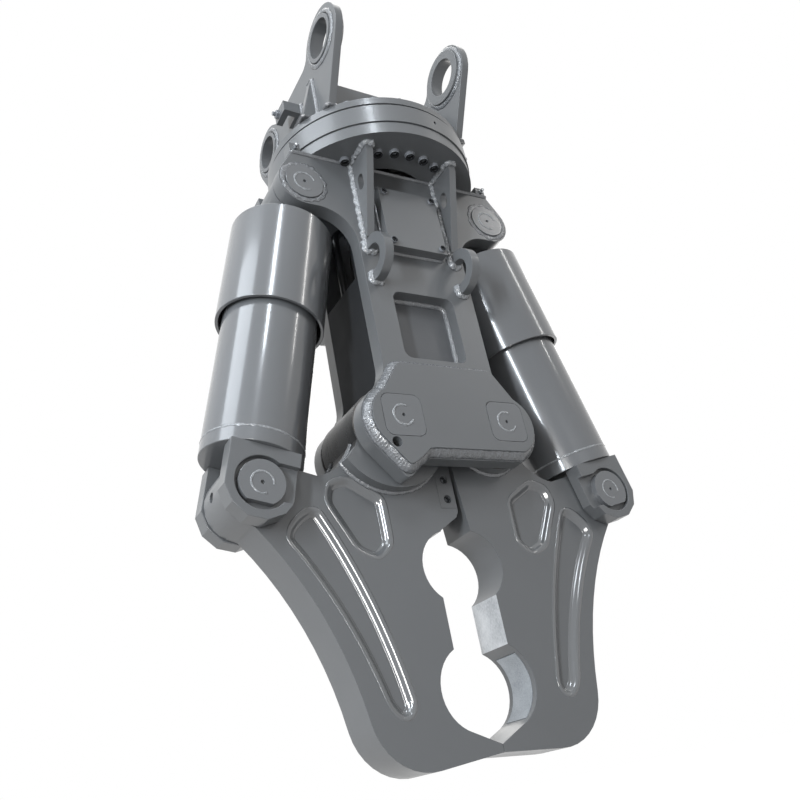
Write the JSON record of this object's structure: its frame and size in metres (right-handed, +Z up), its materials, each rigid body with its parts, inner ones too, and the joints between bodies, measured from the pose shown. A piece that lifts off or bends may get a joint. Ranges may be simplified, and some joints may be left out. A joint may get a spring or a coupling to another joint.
{
  "type": "demolition shear",
  "caption": "Slewing demolition shear for an excavator arm: carrier ears, slewing ring, welded frame, hydraulic cylinders and opening jaws.",
  "frame": {"origin": "centre of the arm pin bore, midway between the two carrier ears", "axes": "+Z up along the slew axis away from the jaws, +X along the arm pin across the tool, +Y from the tool's front to its back"},
  "size_m": [1.1156, 0.5992, 1.8977],
  "materials": {
    "grey_paint": "glossy mid grey enamel over welded steel",
    "black_paint": "satin black enamel",
    "black_bolts": "blackened high tensile bolts",
    "bare_steel": "machined steel",
    "hard_chrome": "ground hard chrome",
    "bronze": "turned bronze"
  },
  "bodies": {
    "carrier": {"carrier_flange": "grey_paint", "carrier_ear_left": "grey_paint", "carrier_ear_right": "grey_paint", "ear_cross_plate": "grey_paint", "ear_ribs": "grey_paint", "pin_stop_block": "grey_paint", "pin_stop_bolt": "black_bolts", "slew_outer_ring": "grey_paint", "outer_ring_bolts": "black_bolts", "slew_motor": "black_paint", "swivel_housing": "black_paint"},
    "pinion": {"slew_pinion": "bare_steel"},
    "frame": {"lower_flange": "grey_paint", "slew_inner_ring": "bare_steel", "inner_ring_bolts": "black_bolts", "slew_balls": "bare_steel", "front_plate": "grey_paint", "back_plate": "grey_paint", "side_webs": "grey_paint", "inner_plates": "grey_paint", "front_pad": "grey_paint", "back_pad": "grey_paint", "gussets": "grey_paint", "cover_seats": "grey_paint", "access_covers": "grey_paint", "cover_bolts": "black_bolts", "lifting_eyes": "grey_paint", "grease_lugs": "grey_paint", "grease_nipples": "bare_steel", "thrust_washers": "bronze", "pivot_pins": "grey_paint", "cylinder_pins": "grey_paint", "swivel_spool": "bare_steel", "hydraulic_lines": "black_paint"},
    "rod_left": {"rod_eye_left": "grey_paint", "piston_rod_left": "hard_chrome", "guard_sleeve_left": "grey_paint", "piston_left": "bare_steel"},
    "barrel_left": {"barrel_left": "grey_paint", "fork_left": "grey_paint", "gland_left": "bare_steel", "fork_pin_left": "grey_paint"},
    "jaw_left": {"jaw_left": "grey_paint", "jaw_hubs_left": "grey_paint", "pivot_bush_left": "bronze", "bite_liner_left": "bare_steel", "throat_blade": "grey_paint", "throat_blade_bolts": "black_bolts"},
    "rod_right": {"rod_eye_right": "grey_paint", "piston_rod_right": "hard_chrome", "guard_sleeve_right": "grey_paint", "piston_right": "bare_steel"},
    "barrel_right": {"barrel_right": "grey_paint", "fork_right": "grey_paint", "gland_right": "bare_steel", "fork_pin_right": "grey_paint"},
    "jaw_right": {"jaw_right": "grey_paint", "jaw_hubs_right": "grey_paint", "pivot_bush_right": "bronze", "bite_liner_right": "bare_steel"}
  },
  "joints": [
    {"name": "slew", "type": "hinge", "parent": "carrier", "child": "frame", "pos_m": [0, 0.22, -0.2805], "axis": [0, 0, 1], "continuous": true},
    {"name": "pinion_spin", "type": "hinge", "parent": "carrier", "child": "pinion", "pos_m": [0, 0.364, -0.2805], "axis": [0, 0, 1], "continuous": true},
    {"name": "jaw_right_open", "type": "hinge", "parent": "frame", "child": "jaw_right", "pos_m": [0.1425, 0.22, -1.089], "axis": [0, -1, 0], "range_deg": [0, 30]},
    {"name": "rod_right_swing", "type": "hinge", "parent": "frame", "child": "rod_right", "pos_m": [0.279, 0.22, -0.438], "axis": [0, -1, 0], "range_deg": [0, 6.6]},
    {"name": "barrel_right_slide", "type": "slide", "parent": "rod_right", "child": "barrel_right", "axis": [0.231, 0, -0.973], "range_m": [-0.166, 0]},
    {"name": "jaw_left_open", "type": "hinge", "parent": "frame", "child": "jaw_left", "pos_m": [-0.1425, 0.22, -1.089], "axis": [0, 1, 0], "range_deg": [0, 30]},
    {"name": "rod_left_swing", "type": "hinge", "parent": "frame", "child": "rod_left", "pos_m": [-0.279, 0.22, -0.438], "axis": [0, 1, 0], "range_deg": [0, 6.6]},
    {"name": "barrel_left_slide", "type": "slide", "parent": "rod_left", "child": "barrel_left", "axis": [-0.231, 0, -0.973], "range_m": [-0.166, 0]}
  ],
  "couplings": [
    {"joint": "pinion_spin", "follows": "slew", "ratio": 5.5},
    {"joint": "rod_right_swing", "follows": "jaw_right_open", "ratio": 0.218},
    {"joint": "barrel_right_slide", "follows": "jaw_right_open", "m_per_rad": -0.312},
    {"joint": "rod_left_swing", "follows": "jaw_left_open", "ratio": 0.218},
    {"joint": "barrel_left_slide", "follows": "jaw_left_open", "m_per_rad": -0.312}
  ]
}
